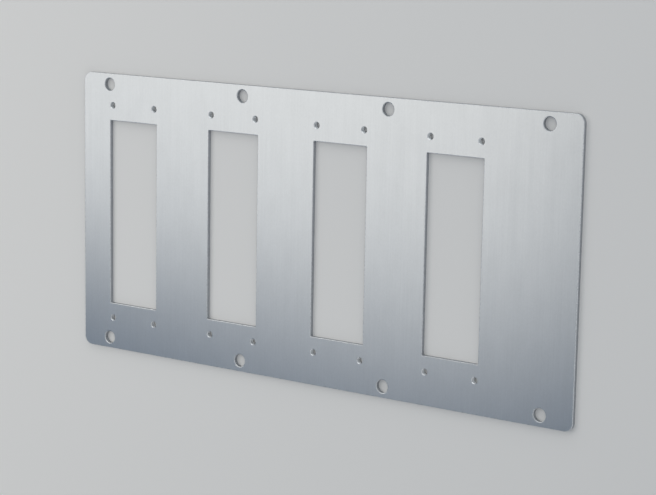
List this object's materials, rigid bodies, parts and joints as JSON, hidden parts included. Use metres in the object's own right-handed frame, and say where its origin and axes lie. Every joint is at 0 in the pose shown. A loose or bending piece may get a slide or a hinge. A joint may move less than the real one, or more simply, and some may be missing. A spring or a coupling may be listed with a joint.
{
  "type": "connector mounting plate",
  "caption": "Flat steel plate with a row of rectangular cutouts for connector housings, tapped holes around each cutout and fixing holes along both long edges.",
  "frame": {"origin": "middle of the back face, on the surface that the plate lies on", "axes": "+X along the plate's length, towards the blank end beyond the last cutout; +Y across it, along the cutouts; +Z out of the front face"},
  "size_m": [0.34, 0.168, 0.0025],
  "materials": {
    "plate_steel": "satin, fine grain across the plate's width"
  },
  "bodies": {
    "root": {"mounting_plate": "plate_steel"}
  },
  "joints": []
}
